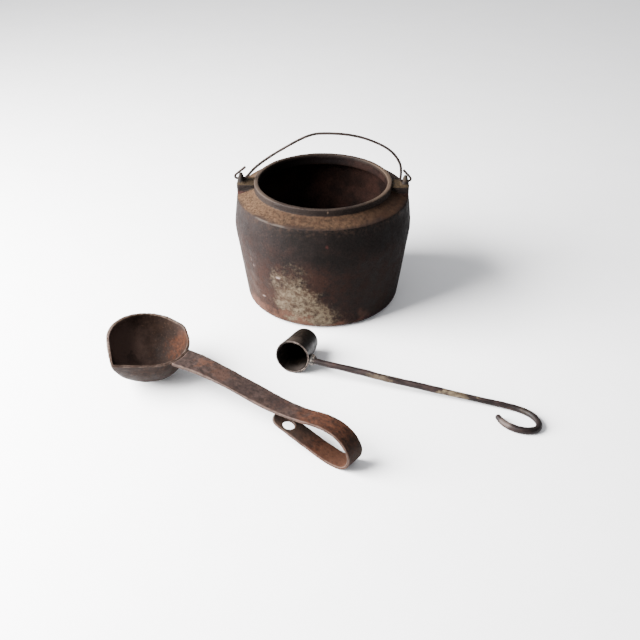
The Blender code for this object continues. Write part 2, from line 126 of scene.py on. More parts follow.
class Look:
    """A material whose nodes are added by short calls. Sizes and places are metres, in the frame."""

    def __init__(self, name, metallic=0.0):
        self.material = bpy.data.materials.new(name)
        self.material.use_nodes = True
        self.nodes = self.material.node_tree.nodes
        self.shader = self.nodes["Principled BSDF"]
        self.shader.inputs["Metallic"].default_value = metallic
        self.place = self.nodes.new("ShaderNodeTexCoord").outputs["Object"]
        self.normal = self.nodes.new("ShaderNodeNewGeometry").outputs["Normal"]

    def feed(self, socket, value):
        """Sets an input to a number or colour, or links it to an output."""
        if isinstance(value, bpy.types.NodeSocket):
            self.material.node_tree.links.new(value, socket)
        elif isinstance(value, tuple) and len(value) == 3 and socket.type == "RGBA":
            socket.default_value = (*value, 1.0)
        else:
            socket.default_value = value

    def paint(self, colour, roughness, shine=0.5):
        """Sets the surface: its colour, its roughness, and how strongly it mirrors light."""
        self.feed(self.shader.inputs["Base Color"], colour)
        self.feed(self.shader.inputs["Roughness"], roughness)
        self.feed(self.shader.inputs["Specular IOR Level"], shine)

    def noise(self, size, detail=4.0, rough=0.6, place=None):
        node = self.nodes.new("ShaderNodeTexNoise")
        self.feed(node.inputs["Vector"], place or self.place)
        self.feed(node.inputs["Scale"], 1 / size)
        self.feed(node.inputs["Detail"], detail)
        self.feed(node.inputs["Roughness"], rough)
        return node.outputs["Fac"]

    def waver(self, size, amount, detail=4.0, rough=0.6):
        """A noise that goes from about -amount to amount."""
        return self.step(self.noise(size, detail, rough), 0.3, 0.7, -amount, amount)

    def cells(self, size):
        """The distance to the nearest of scattered points about this far apart, in units of size."""
        node = self.nodes.new("ShaderNodeTexVoronoi")
        self.feed(node.inputs["Vector"], self.place)
        self.feed(node.inputs["Scale"], 1 / size)
        return node.outputs["Distance"]

    def stretched(self, factors, turn=0.0):
        """The place, turned about Z and then scaled along the axes, for a grain that runs one way."""
        turned = self.nodes.new("ShaderNodeVectorRotate")
        turned.rotation_type = "Z_AXIS"
        self.feed(turned.inputs["Vector"], self.place)
        self.feed(turned.inputs["Angle"], turn)
        node = self.nodes.new("ShaderNodeVectorMath")
        node.operation = "MULTIPLY"
        self.feed(node.inputs[0], turned.outputs["Vector"])
        self.feed(node.inputs[1], factors)
        return node.outputs["Vector"]

    def attribute(self, name):
        node = self.nodes.new("ShaderNodeAttribute")
        node.attribute_name = name
        return node.outputs["Fac"]

    def step(self, value, low, high, bottom=0.0, top=1.0):
        """Goes smoothly from bottom to top as the value goes from low to high."""
        node = self.nodes.new("ShaderNodeMapRange")
        node.interpolation_type = "SMOOTHSTEP"
        for name, number in (("From Min", low), ("From Max", high), ("To Min", bottom), ("To Max", top)):
            self.feed(node.inputs[name], number)
        self.feed(node.inputs["Value"], value)
        return node.outputs["Result"]

    def within(self, value, low, high, soft):
        """1 where the value is between low and high, fading out over soft beyond them."""
        rise = self.step(value, low - soft, low)
        return self.times(rise, self.step(value, high, high + soft, bottom=1.0, top=0.0))

    def math(self, operation, a, b):
        node = self.nodes.new("ShaderNodeMath")
        node.operation = operation
        self.feed(node.inputs[0], a)
        self.feed(node.inputs[1], b)
        return node.outputs["Value"]

    def times(self, *values):
        product = values[0]
        for value in values[1:]:
            product = self.math("MULTIPLY", product, value)
        return product

    def most(self, *values):
        largest = values[0]
        for value in values[1:]:
            largest = self.math("MAXIMUM", largest, value)
        return largest

    def mix(self, share, a, b):
        node = self.nodes.new("ShaderNodeMix")
        node.data_type = "RGBA"
        self.feed(node.inputs["Factor"], share)
        self.feed([s for s in node.inputs if s.name == "A" and s.type == "RGBA"][0], a)
        self.feed([s for s in node.inputs if s.name == "B" and s.type == "RGBA"][0], b)
        return [s for s in node.outputs if s.type == "RGBA"][0]

    def shades(self, value, dark, pale, low=0.35, high=0.65):
        """From the dark colour to the pale one as the value, such as a noise, goes from low to high."""
        return self.mix(self.step(value, low, high), dark, pale)

    def coat(self, under, over, *shares):
        """One colour over another, as thickly as the product of the shares."""
        return self.mix(self.times(*shares), under, over)

    def part(self, vector, axis):
        node = self.nodes.new("ShaderNodeSeparateXYZ")
        self.feed(node.inputs[0], vector)
        return node.outputs[axis]

    def length(self, vector):
        node = self.nodes.new("ShaderNodeVectorMath")
        node.operation = "LENGTH"
        self.feed(node.inputs[0], vector)
        return node.outputs["Value"]

    def dot(self, a, b):
        node = self.nodes.new("ShaderNodeVectorMath")
        node.operation = "DOT_PRODUCT"
        self.feed(node.inputs[0], a)
        self.feed(node.inputs[1], b)
        return node.outputs["Value"]

    def facing(self, centre, soft):
        """1 where the surface faces the centre, and 0 where it faces away from it."""
        node = self.nodes.new("ShaderNodeVectorMath")
        node.operation = "SUBTRACT"
        self.feed(node.inputs[0], self.place)
        self.feed(node.inputs[1], centre)
        return self.step(self.dot(self.normal, node.outputs["Vector"]), soft, -soft)

    def near(self, centre, reach, rag, grain, share=1.0):
        """The share at the centre, falling to 0 at the reach along each axis, with a ragged edge."""
        node = self.nodes.new("ShaderNodeMapping")
        self.feed(node.inputs["Vector"], self.place)
        self.feed(node.inputs["Scale"], tuple(1 / r for r in reach))
        self.feed(node.inputs["Location"], tuple(-c / r for c, r in zip(centre, reach)))
        away = self.length(node.outputs["Vector"])
        ragged = self.math("ADD", away, self.waver(grain, rag))
        return self.step(ragged, 0.35, 1.0, bottom=share, top=0.0)

    def bump(self, height, depth):
        """Adds relief, whose height from 0 to 1 stands for the depth in metres."""
        node = self.nodes.new("ShaderNodeBump")
        self.feed(node.inputs["Strength"], 1.0)
        self.feed(node.inputs["Distance"], depth)
        self.feed(node.inputs["Height"], height)
        links = self.shader.inputs["Normal"].links
        if links:
            self.feed(node.inputs["Normal"], links[0].from_socket)
        self.feed(self.shader.inputs["Normal"], node.outputs["Normal"])


RED_TO_BLUE = (0.052, 0.078)  # heights between which the pot's wall turns from red-brown to blue-black
ONTO_SHOULDER = (0.0925, 0.0945)  # heights
ONTO_LIP = (0.1012, 0.1022)  # heights
LIP_OUTSIDE = (0.0592, 0.0586)  # radii
DOWN_INSIDE = (0.1052, 0.1032)  # heights
ONTO_FLOOR = (0.0200, 0.0150)  # heights
# painted shade in the pot's throat comes in between these heights
UP_THE_THROAT = (0.0950, 0.0990)  # heights


def pot_measures(look):
    """What the pot's colours go by: where a point is, which way it faces, and noises by size."""
    x, z = (look.part(look.place, axis) for axis in "XZ")
    spoke = look.stretched((1.0, 1.0, 0.0))
    radius = look.length(spoke)
    wander = look.waver(0.020, 1.0)
    return SimpleNamespace(
        x=x,
        z=z,
        radius=radius,
        up=look.part(look.normal, "Z"),
        outward=look.math("DIVIDE", look.dot(look.normal, spoke), radius),
        wander=wander,
        ragged_z=look.math("ADD", z, look.times(wander, 0.010)),
        grain=look.noise(0.0014, detail=3, rough=0.7),
        coarse=look.noise(0.0036, detail=6, rough=0.75),
        mottle=look.noise(0.011, detail=6, rough=0.7),
    )


def pot_wall(look, at):
    """The wall: blue-black above, red-brown below, painted shade towards the right, and dusty to the left.
    """
    upper = look.shades(at.mottle, tint(12, 9, 8), tint(22, 17, 16), low=0.38, high=0.66)
    # painted shade: the upper wall darkens towards the right, away from the light
    upper = look.coat(upper, tint(10, 7, 6), look.step(at.x, -0.030, 0.010, top=0.5))
    lower = look.shades(at.mottle, tint(18, 12, 10), tint(34, 21, 17))
    # painted shade: the lower wall darkens towards the right, away from the light
    lower = look.coat(lower, tint(13, 8, 7), look.step(at.x, 0.0, 0.030, top=0.55))
    wall = look.mix(look.step(at.ragged_z, *RED_TO_BLUE), lower, upper)
    dust = look.shades(at.ragged_z, tint(48, 34, 28), tint(33, 22, 19), low=0.020, high=0.050)
    dust = look.coat(dust, tint(27, 21, 20), look.step(at.ragged_z, 0.060, 0.080))
    to_left = look.step(at.x, -0.072, -0.020, bottom=1.0, top=0.0)
    wall = look.coat(wall, dust, to_left, look.step(look.noise(0.018), 0.3, 0.7, bottom=0.35, top=1.0))
    specks = look.step(at.grain, 0.54, 0.70)
    wall = look.coat(wall, tint(60, 46, 40), specks, look.step(at.x, -0.06, 0.0, bottom=0.34, top=0.06))
    pores = look.step(look.cells(0.0030), 0.16, 0.34, bottom=1.0, top=0.0)
    return look.coat(wall, tint(10, 8, 8), pores, 0.5)


def scuffing(look):
    """How scuffed the wall is: a patch low in front, which breaks up into flecks between pits."""
    rubbed = partial(look.near, rag=0.15, grain=0.012)
    patch = look.most(
        rubbed((-0.030, -0.062, 0.041), (0.023, 0.034, 0.024), share=0.66),
        rubbed((-0.023, -0.066, 0.028), (0.029, 0.034, 0.027)),
        rubbed((-0.009, -0.066, 0.012), (0.037, 0.034, 0.022)),
        rubbed((-0.024, -0.068, 0.055), (0.022, 0.030, 0.020), grain=0.010, share=0.35),
    )
    fleck = look.waver(0.0032, 0.36, detail=6, rough=0.8)
    scuff = look.step(look.math("ADD", patch, fleck), 0.22, 1.15)
    return look.times(scuff, look.step(look.cells(0.0024), 0.10, 0.30, bottom=0.25, top=1.0))


def marked_wall(look, at, wall, scuffed):
    """The wall with its scuffs, its rusty foot, its chips and a red spot."""
    scale = look.shades(look.noise(0.0050, detail=5, rough=0.7), tint(54, 42, 33), tint(100, 89, 73))
    wall = look.coat(wall, scale, scuffed, 0.72)
    at_foot = look.step(at.ragged_z, 0.001, 0.011, bottom=1.0, top=0.0)
    less_to_right = look.step(at.x, 0.0, 0.055, bottom=1.0, top=0.4)
    wall = look.coat(wall, tint(72, 48, 38), at_foot, less_to_right, 0.7)
    chip = partial(look.near, rag=0.3, grain=0.001)
    chips = look.most(
        chip((-0.0369, -0.0614, 0.0470), (0.0026, 0.003, 0.0014)),
        chip((-0.0592, -0.0410, 0.0545), (0.0012, 0.002, 0.0024), share=0.5),
        chip((-0.0575, -0.0433, 0.0491), (0.0014, 0.002, 0.0020), share=0.35),
        chip((-0.0497, -0.0466, 0.0215), (0.0020, 0.003, 0.0014), share=0.6),
    )
    wall = look.coat(wall, tint(126, 112, 106), chips, 0.65)
    red_spot = chip((0.0030, -0.0736, 0.0818), (0.0018, 0.004, 0.0018), share=0.45)
    return look.coat(wall, tint(58, 30, 28), red_spot)


def pot_shoulder(look, at):
    """The shoulder's tan rust, which thins out raggedly towards its edge."""
    tan = look.shades(at.coarse, tint(28, 20, 15), tint(58, 43, 32), low=0.36, high=0.62)
    tan = look.coat(tan, tint(66, 51, 39), look.step(at.grain, 0.44, 0.66), 0.45)
    tan = look.coat(tan, tint(44, 29, 21), look.step(at.mottle, 0.44, 0.70, top=0.7))
    to_left = look.step(at.x, -0.065, -0.020, bottom=0.85, top=0.0)
    tan = look.coat(tan, tint(80, 62, 46), to_left, look.step(at.grain, 0.40, 0.62))
    tan = look.coat(tan, tint(38, 25, 19), look.step(at.x, 0.015, 0.060, top=0.5))
    ragged_radius = look.math("ADD", at.radius, look.times(at.wander, 0.0022))
    return look.coat(tan, tint(26, 20, 19), look.step(ragged_radius, 0.0680, 0.0730, top=0.75))


def shoulder_edge(look, at):
    """Where the shoulder's edge is painted pale, in front to the left: rubbed wear with a painted highlight.
    """
    return look.times(
        look.within(at.z, 0.0949, 0.0958, 0.0005),
        look.within(at.radius, 0.0712, 0.0735, 0.0006),
        look.within(at.x, -0.052, -0.034, 0.010),
        look.step(look.noise(0.007, detail=3), 0.38, 0.62),
    )


def pot_lip(look, at):
    """The lip: rubbed smooth on top, painted shade on its sides, paler at both ends, a bright nick in front.
    """
    lip = look.shades(at.mottle, tint(25, 20, 18), tint(38, 31, 27))
    lip = look.coat(lip, tint(56, 46, 39), look.step(at.grain, 0.5, 0.7), 0.45)
    lip = look.coat(lip, tint(68, 56, 47), look.step(at.x, 0.025, 0.055, top=0.75))
    lip = look.coat(lip, tint(66, 56, 49), look.step(at.x, -0.030, -0.052, top=0.6))
    # painted shade on the lip's sides, which leaves its top paler
    lip = look.coat(lip, tint(17, 12, 11), look.step(at.up, 0.6, 0.2), 0.75)
    nick = look.near((0.0037, -0.0579, 0.1045), (0.0009, 0.002, 0.0016), rag=0.3, grain=0.0008, share=0.38)
    return look.coat(lip, tint(110, 92, 78), nick)


def pot_inside(look, at):
    """The inside: black with old wax soot, reddish where open to the light, painted shade high in the
    throat.
    """
    sooty = look.shades(look.noise(0.016), tint(18, 11, 9), tint(36, 22, 18), low=0.35, high=0.7)
    # painted shade darkens the throat under the lip, to even it with the wall in the lip's shadow; less of
    # it to the right
    less_to_right = look.step(at.x, 0.0, 0.048, bottom=0.95, top=0.35)
    return look.coat(sooty, tint(5, 3, 3), look.step(at.z, *UP_THE_THROAT), less_to_right)


def pot_look():
    """Old cast iron: blue-black above, red-brown below, tan rust on the shoulder, scuffed in front."""
    look = Look("pot_iron")
    at = pot_measures(look)
    scuffed = scuffing(look)
    wall = marked_wall(look, at, pot_wall(look, at), scuffed)
    spill = look.times(look.step(at.z, 0.0860, 0.0945), look.step(at.coarse, 0.46, 0.64), 0.5)
    wall = look.coat(wall, tint(48, 36, 29), spill)
    on_top = look.times(look.step(at.up, 0.45, 0.85), look.step(at.z, *ONTO_SHOULDER))
    colour = look.coat(wall, pot_shoulder(look, at), on_top)
    # the shoulder's pale edge: rubbed wear and a painted highlight where the light strikes it
    colour = look.coat(colour, tint(92, 84, 78), shoulder_edge(look, at), 0.22)
    on_lip = look.times(look.step(at.z, *ONTO_LIP), look.step(at.radius, *LIP_OUTSIDE))
    colour = look.coat(colour, pot_lip(look, at), on_lip)
    ragged_lip = look.math("ADD", at.z, look.times(at.wander, 0.0006))
    on_inner_wall = look.times(look.step(at.outward, 0.0, -0.25), look.step(ragged_lip, *DOWN_INSIDE))
    on_floor = look.times(look.step(at.up, 0.3, 0.6), look.step(at.z, *ONTO_FLOOR))
    colour = look.coat(colour, pot_inside(look, at), look.most(on_inner_wall, on_floor))
    smoothed = look.math("ADD", at.mottle, look.times(on_lip, -0.25))
    look.paint(colour, look.step(smoothed, 0.2, 0.8, bottom=0.55, top=0.85), shine=0.04)
    look.bump(at.coarse, depth=0.00040)
    look.bump(look.noise(0.0013, detail=3), depth=0.00014)
    look.bump(scuffed, depth=0.00012)
    return look


def ear_look():
    """The ears: the pot's iron, golden-brown on the pads and dark on the fins."""
    look = Look("ear_iron")
    x, z = (look.part(look.place, axis) for axis in "XZ")
    up = look.part(look.normal, "Z")
    mottle = look.noise(0.006, detail=4, rough=0.65)
    grain = look.noise(0.0012, detail=3, rough=0.7)
    by_side = partial(look.step, x, -0.01, 0.01)  # from the left ear's value to the right ear's
    dark = look.shades(mottle, tint(13, 9, 8), tint(25, 18, 15))
    rusty = look.shades(grain, tint(30, 23, 16), tint(50, 39, 25))
    on_pad = look.times(look.step(up, 0.25, 0.7), look.step(z, 0.1066, 0.1052))
    colour = look.coat(dark, rusty, on_pad, by_side(0.9, 1.0))
    at_tip = look.step(z, 0.1072, 0.1090)
    colour = look.coat(colour, tint(40, 33, 26), at_tip, by_side(0.15, 0.8))
    at_foot = look.step(z, 0.1002, 0.0980)
    colour = look.coat(colour, tint(40, 20, 16), at_foot, look.step(mottle, 0.2, 0.5), 0.8)
    look.paint(colour, look.step(grain, 0.3, 0.7, bottom=0.6, top=0.85), shine=0.08)
    look.bump(look.noise(0.0030, detail=3), depth=0.00018)
    look.bump(grain, depth=0.00008)
    return look


def bail_look():
    """Old dark wire with brown bloom and a dull shine."""
    look = Look("bail_steel")
    colour = look.shades(look.noise(0.009, detail=4, rough=0.7), tint(24, 20, 18), tint(44, 36, 34))
    bloom = look.step(look.noise(0.0018, detail=3), 0.58, 0.72, top=0.3)
    colour = look.coat(colour, tint(40, 31, 27), bloom)
    roughness = look.step(look.noise(0.004, detail=3), 0.3, 0.7, bottom=0.60, top=0.80)
    look.paint(colour, roughness, shine=0.03)
    look.bump(look.noise(0.0011, detail=3), depth=0.00006)
    return look


BOWL_MIDDLE = (-0.1341, -0.1331, 0.0343)


def bowl_look():
    """The ladle's bowl: dark brown iron, with a paler worn rim and rust inside by the handle."""
    look = Look("ladle_iron")
    y, z = (look.part(look.place, axis) for axis in "YZ")
    mottle = look.noise(0.010, detail=6, rough=0.7)
    grain = look.noise(0.0014, detail=3, rough=0.7)
    speckle = look.noise(0.0026, detail=6, rough=0.8)
    edge = look.attribute("edge")
    colour = look.shades(mottle, tint(22, 15, 12), tint(38, 26, 20), low=0.25, high=0.78)
    colour = look.coat(colour, tint(24, 17, 15), look.step(speckle, 0.50, 0.36, top=0.55))

    # inside: paler at the left, a painted light that makes up for the rim's shadow there, with a dark
    # smudge, orange rust and a pinkish bloom by the handle
    painted_light_inside_left = look.near((-0.158, -0.122, 0.018), (0.031, 0.030, 0.032), rag=0.12, grain=0.016, share=0.72)
    colour = look.coat(colour, tint(90, 72, 65), painted_light_inside_left, look.facing(BOWL_MIDDLE, 0.006))
    smudge = look.most(
        look.near((-0.1510, -0.1235, 0.0100), (0.009, 0.006, 0.006), rag=0.6, grain=0.004),
        look.near((-0.1465, -0.1228, 0.0070), (0.007, 0.005, 0.005), rag=0.6, grain=0.004),
    )
    colour = look.coat(colour, tint(30, 23, 21), smudge, 0.45)
    rust = look.most(
        look.near((-0.1090, -0.1215, 0.0235), (0.016, 0.014, 0.013), rag=0.35, grain=0.008),
        look.near((-0.1144, -0.1190, 0.0160), (0.016, 0.014, 0.011), rag=0.45, grain=0.008),
    )
    orange = look.shades(speckle, tint(32, 18, 12), tint(58, 33, 21), low=0.38, high=0.62)
    colour = look.coat(colour, orange, rust, look.step(mottle, 0.2, 0.6, bottom=0.5, top=1.0))
    pinkish = look.near((-0.1125, -0.1115, 0.0320), (0.013, 0.009, 0.010), rag=0.2, grain=0.008, share=0.3)
    colour = look.coat(colour, tint(46, 36, 33), pinkish)

    # outside in front, then grain all over and wear on the rim, most of all at the left
    in_front = look.times(look.step(y, -0.150, -0.158), look.step(z, 0.031, 0.028))
    outside = look.shades(speckle, tint(20, 13, 11), tint(38, 26, 20), low=0.38, high=0.65)
    colour = look.coat(colour, outside, in_front)
    colour = look.coat(colour, tint(76, 58, 49), look.step(grain, 0.56, 0.72), 0.45)
    worn = look.times(edge, look.step(look.noise(0.004, detail=3), 0.35, 0.65, bottom=0.2, top=0.8))
    colour = look.coat(colour, tint(88, 74, 66), worn)
    left_rim = look.near((-0.1665, -0.1370, 0.0380), (0.008, 0.032, 0.009), rag=0.15, grain=0.006, share=0.6)
    colour = look.coat(colour, tint(108, 94, 87), left_rim, edge)
    look.paint(colour, look.step(mottle, 0.25, 0.75, bottom=0.55, top=0.8), shine=0.06)
    look.bump(look.noise(0.0060), depth=0.00040)
    look.bump(speckle, depth=0.00022)
    return look


STRAP_TURN = radians(37.0)  # turns the handle's direction onto +X
STRAP_AHEAD = (cos(STRAP_TURN), -sin(STRAP_TURN), 0.0)  # from the bowl to the loop


def strap_metal(look, along, mottle, fine):
    """Brown-grey near the bowl, turning raggedly to orange rust towards the loop."""
    grey = look.shades(fine, tint(24, 18, 16), tint(48, 37, 34), low=0.36, high=0.64)
    grey = look.coat(grey, tint(52, 36, 28), look.step(mottle, 0.50, 0.72, top=0.5))
    rust = look.shades(fine, tint(30, 17, 12), tint(62, 36, 24), low=0.36, high=0.64)
    rust = look.coat(rust, tint(30, 20, 16), look.step(mottle, 0.35, 0.58, bottom=0.5, top=0.0))
    ragged = look.math("ADD", along, look.waver(0.014, 0.014))
    return look.mix(look.step(ragged, 0.100, 0.130), grey, rust)


def strap_look():
    """The strap: brown-grey near the bowl, turning to orange rust in the loop, with paler edges."""
    look = Look("strap_iron")
    z = look.part(look.place, "Z")
    along = look.part(look.stretched((1.0, 1.0, 1.0), STRAP_TURN), "X")
    mottle = look.noise(0.012, detail=6, rough=0.7)
    grain = look.noise(0.0013, detail=3, rough=0.7)
    fine = look.noise(0.0030, detail=6, rough=0.8, place=look.stretched((0.7, 1.1, 1.0), STRAP_TURN))
    colour = strap_metal(look, along, mottle, fine)

    # dark stains before the loop, and rusty spots nearer the bowl
    stains = look.most(
        look.near((-0.0348, -0.1994, 0.0252), (0.0075, 0.0065, 0.008), rag=0.5, grain=0.004),
        look.near((-0.0290, -0.2047, 0.0250), (0.0075, 0.0065, 0.008), rag=0.5, grain=0.004),
        look.near((-0.0568, -0.1896, 0.0269), (0.012, 0.010, 0.008), rag=0.5, grain=0.006, share=0.4),
    )
    colour = look.coat(colour, tint(24, 18, 18), stains, 0.6)
    spots = look.most(
        look.near((-0.0901, -0.1583, 0.0292), (0.007, 0.007, 0.006), rag=0.6, grain=0.004),
        look.near((-0.0747, -0.1733, 0.0287), (0.010, 0.009, 0.006), rag=0.6, grain=0.005, share=0.5),
    )
    colour = look.coat(colour, tint(66, 42, 31), spots, 0.5)

    # olive on the strap's returning end, orange in the loop's low bend, and painted shade on its far side,
    # which faces away from the light
    returning = look.times(look.step(z, 0.0215, 0.0175), look.step(z, 0.0045, 0.0095))
    olive = look.shades(mottle, tint(28, 23, 20), tint(46, 33, 26))
    colour = look.coat(colour, olive, returning, 0.8)
    low_bend = look.near((0.0095, -0.2390, 0.0030), (0.020, 0.020, 0.009), rag=0.4, grain=0.008, share=0.8)
    colour = look.coat(colour, look.mix(grain, tint(40, 25, 18), tint(68, 43, 31)), low_bend)
    # painted shade: the loop's faces turned away from the light are darkened
    facing_ahead = look.step(look.dot(look.normal, STRAP_AHEAD), 0.25, 0.75)
    painted_shade_far_side = look.times(facing_ahead, look.step(along, 0.130, 0.145), 0.75)
    painted_shade_rust = look.shades(fine, tint(26, 17, 13), tint(48, 32, 25), low=0.36, high=0.64)
    colour = look.coat(colour, painted_shade_rust, painted_shade_far_side)

    # grain and pores all over, and wear on the edges
    colour = look.coat(colour, tint(66, 51, 44), look.step(grain, 0.56, 0.74), 0.40)
    pores = look.step(look.cells(0.0028), 0.14, 0.30, bottom=1.0, top=0.0)
    colour = look.coat(colour, tint(20, 14, 12), pores, 0.5)
    wear = look.step(look.noise(0.005, detail=3), 0.3, 0.65, bottom=0.15, top=0.8)
    colour = look.coat(colour, tint(76, 61, 54), look.attribute("edge"), wear)
    look.paint(colour, look.step(fine, 0.3, 0.7, bottom=0.55, top=0.8), shine=0.06)
    look.bump(fine, depth=0.00026)
    look.bump(look.noise(0.0012, detail=3), depth=0.00010)
    return look


CUP_TURN = radians(-71.0)  # turns the cup's axis onto +X
AT_MOUTH = (-0.1240, -0.1275)  # the Y where the rubbing starts, and where it is full


def cup_look():
    """The mould cup: thin dark steel with brown bloom, a rubbed mouth, and a painted glint at its lower
    right.
    """
    look = Look("cup_steel", metallic=0.25)
    y = look.part(look.place, "Y")
    mottle = look.noise(0.006, detail=5, rough=0.7)
    grain = look.noise(0.0012, detail=3, rough=0.7)
    drawn = look.noise(0.0040, place=look.stretched((0.35, 2.0, 2.0), CUP_TURN))
    colour = look.shades(mottle, tint(12, 9, 8), tint(22, 17, 14))
    tan = look.near((-0.0243, -0.1225, 0.0270), (0.010, 0.010, 0.010), rag=0.5, grain=0.004, share=0.5)
    colour = look.coat(colour, tint(60, 53, 48), tan)
    colour = look.coat(colour, tint(52, 44, 38), look.step(drawn, 0.52, 0.75, top=0.5))
    colour = look.coat(colour, tint(64, 54, 47), look.step(grain, 0.6, 0.75), 0.35)
    # rubbed wear all round the mouth, with a painted glint at its lower right, where it is brightest
    painted_glint = look.near((-0.0150, -0.1300, 0.0100), (0.018, 0.008, 0.026), rag=0.3, grain=0.004)
    rubbed = look.times(
        look.attribute("edge"),
        look.step(look.noise(0.0025), 0.35, 0.6, bottom=0.2, top=1.0),
        look.most(painted_glint, 0.3),
        look.step(y, *AT_MOUTH),
        0.85,
    )
    colour = look.coat(colour, tint(150, 134, 126), rubbed)
    low_glow = look.near((-0.0190, -0.1250, 0.0025), (0.013, 0.007, 0.003), rag=0.1, grain=0.006, share=0.6)
    colour = look.coat(colour, tint(60, 54, 51), low_glow)
    look.paint(colour, look.step(mottle, 0.3, 0.7, bottom=0.38, top=0.60), shine=0.08)
    look.bump(drawn, depth=0.00006)
    look.bump(look.noise(0.0011, detail=3), depth=0.00005)
    return look


ROD_TURN = radians(16.6)  # turns the rod's direction onto +X


def rod_look():
    """The rod: dark purple-brown forged steel, rubbed to brass-tan in places, with painted highlights along
    the hook.
    """
    look = Look("rod_steel", metallic=0.1)
    mottle = look.noise(0.007, detail=5, rough=0.65)
    drawn = look.noise(0.0040, place=look.stretched((0.28, 1.6, 1.6), ROD_TURN))
    colour = look.shades(drawn, tint(17, 12, 12), tint(35, 26, 25))
    colour = look.coat(colour, tint(48, 33, 28), look.step(mottle, 0.5, 0.7, top=0.6))
    rub = partial(look.near, rag=0.5, grain=0.004)
    rubbed = look.most(
        rub((0.0430, -0.1515, 0.0085), (0.0170, 0.0085, 0.0040), share=0.28),
        rub((0.0955, -0.1675, 0.0058), (0.0180, 0.0090, 0.0044), share=0.75),
        # this last one, where the hook starts, is a painted highlight
        rub((0.1490, -0.1835, 0.0045), (0.0060, 0.0060, 0.0030), share=0.12),
    )
    brassy = look.shades(drawn, tint(66, 55, 42), tint(122, 108, 86))
    colour = look.coat(colour, brassy, rubbed, look.step(mottle, 0.25, 0.5, bottom=0.3, top=1.0))
    # a painted highlight along the hook near its end
    painted_tip_highlight = look.near((0.1315, -0.1990, 0.0045), (0.0110, 0.0075, 0.0034), rag=0.15, grain=0.004)
    colour = look.coat(colour, tint(108, 96, 90), painted_tip_highlight, 0.32)
    hook = look.near((0.1540, -0.2000, 0.0040), (0.022, 0.024, 0.010), rag=0.2, grain=0.006)
    colour = look.coat(colour, tint(18, 14, 14), hook, look.step(painted_tip_highlight, 0.0, 0.4, bottom=0.6, top=0.0))
    look.paint(colour, look.step(mottle, 0.3, 0.7, bottom=0.36, top=0.58), shine=0.10)
    look.bump(drawn, depth=0.00010)
    look.bump(look.noise(0.0011, detail=3), depth=0.00005)
    return look


def braze_look():
    """The braze: lumpy brass and solder, mostly dark, with bright specks that are painted highlights."""
    look = Look("braze_metal", metallic=0.5)
    mottle = look.noise(0.0016, detail=4, rough=0.7)
    colour = look.shades(mottle, tint(30, 26, 24), tint(160, 146, 134), low=0.52, high=0.66)
    look.paint(colour, look.step(mottle, 0.3, 0.7, bottom=0.30, top=0.50))
    look.bump(look.noise(0.0020, detail=3), depth=0.00020)
    return look


# ---------------------------------------------------------------- meshes

SAME_POINT = 0.000002  # CAD points closer than this are one
FLAT_ANGLE = radians(15)  # CAD triangles that meet at less than this become one face
SHAPE_ANGLE = radians(70)
FOOT = 0.002  # below this height, the relief fades out, so that the pieces lie flat on the table
BEND_BLURS = 2


def applied(obj):
    """The object with its modifiers applied."""
    bpy.context.view_layer.update()
    seen = obj.evaluated_get(bpy.context.evaluated_depsgraph_get())
    mesh = bpy.data.meshes.new_from_object(seen)
    obj.modifiers.clear()
    obj.data = mesh
    return obj


def add_piece(name, mesh):
    obj = bpy.data.objects.new(name, mesh)
    bpy.context.scene.collection.objects.link(obj)
    return obj


def evened(obj, voxel, rounds, swell=0.0):
    """Gives a closed form an even fine mesh, with its edges softened in so many rounds.

    Swell makes up for what the softening takes off a thin round piece.
    """
    even = obj.modifiers.new("even", "REMESH")
    even.mode = "VOXEL"
    even.voxel_size = voxel
    soften = obj.modifiers.new("soften", "SMOOTH")
    soften.factor = 0.5
    soften.iterations = rounds
    if swell:
        grow = obj.modifiers.new("grow", "DISPLACE")
        grow.strength = swell
        grow.mid_level = 0.0
    return applied(obj)


def refined(name, node, voxel, sharp, rounds=2, swell=0.0):
    """A fine, even copy of a CAD node: its facets rounded out, and its sharp edges just softened.

    An edge whose faces meet at more than the sharp angle, in degrees, stays an edge.
    """
    obj = add_piece(name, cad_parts[node].data.copy())
    work = bmesh.new()
    work.from_mesh(obj.data)
    bmesh.ops.remove_doubles(work, verts=work.verts, dist=SAME_POINT)
    bmesh.ops.join_triangles(
        work,
        faces=work.faces,
        angle_face_threshold=FLAT_ANGLE,
        angle_shape_threshold=SHAPE_ANGLE,
    )
    crease = work.edges.layers.float.new("crease_edge")
    for edge in work.edges:
        if edge.is_manifold and edge.calc_face_angle() > radians(sharp):
            edge[crease] = 1.0
    work.to_mesh(obj.data)
    work.free()
    rounding = obj.modifiers.new("rounding", "SUBSURF")
    rounding.levels = 2
    rounding.render_levels = 2
    return evened(obj, voxel, rounds, swell)


def roughened(obj, *layers):
    """Moves each point along its normal by layers of noise, each a (size, height) in metres.

    No point ends up below the table.
    """
    mesh = obj.data
    normals = [normal.vector.copy() for normal in mesh.vertex_normals]
    for index, vertex in enumerate(mesh.vertices):
        shift = sum(height * noise.noise(vertex.co / size) for size, height in layers)
        vertex.co += normals[index] * shift * min(1.0, max(0.0, vertex.co.z / FOOT))
        vertex.co.z = max(0.0, vertex.co.z)
    mesh.update()
    return obj


def fattened(obj, centre, reach, amount):
    """Moves the points near a centre out along their normals, by less and less up to the reach."""
    mesh = obj.data
    normals = [normal.vector.copy() for normal in mesh.vertex_normals]
    for index, vertex in enumerate(mesh.vertices):
        away = (vertex.co - Vector(centre)).length / reach
        if away < 1:
            vertex.co += normals[index] * amount * (1 - away**2) ** 2
    mesh.update()


